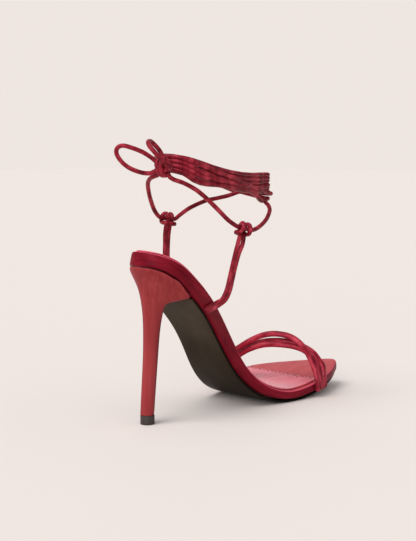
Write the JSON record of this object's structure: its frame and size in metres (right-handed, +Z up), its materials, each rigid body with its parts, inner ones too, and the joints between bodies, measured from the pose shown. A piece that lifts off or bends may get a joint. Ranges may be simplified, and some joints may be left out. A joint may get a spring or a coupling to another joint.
{
  "type": "lace up heeled sandal",
  "caption": "Satin stiletto sandal for the left foot, with thin vamp straps, side loops and a lace wound round the ankle and tied in a bow.",
  "frame": {"origin": "centre of the heel tip's face on the floor", "axes": "+Z up, toe towards -Y, outer side of the left foot towards +X"},
  "size_m": [0.0822, 0.2155, 0.2001],
  "materials": {
    "rim_satin": "satin wrapped over the footbed, dark burgundy red",
    "sock_lining": "glossy coated lining, rose red",
    "outsole": "smooth moulded sole, taupe brown",
    "heel_satin": "satin stretched over the heel, burgundy red",
    "heel_tip": "hard top piece, dark brown",
    "strap_satin": "rolled satin tube, burgundy red",
    "cord_satin": "round satin cord, burgundy red"
  },
  "bodies": {
    "root": {"footbed": "rim_satin", "sock": "sock_lining", "outsole": "outsole", "heel": "heel_satin", "heel_tip": "heel_tip", "upper": "strap_satin", "side_loop_inner": "cord_satin", "side_loop_outer": "cord_satin", "ankle_wrap": "cord_satin", "lace_inner": "cord_satin", "lace_outer": "cord_satin", "bow_knot": "cord_satin", "bow_loop_inner": "cord_satin", "bow_loop_outer": "cord_satin"}
  },
  "joints": []
}
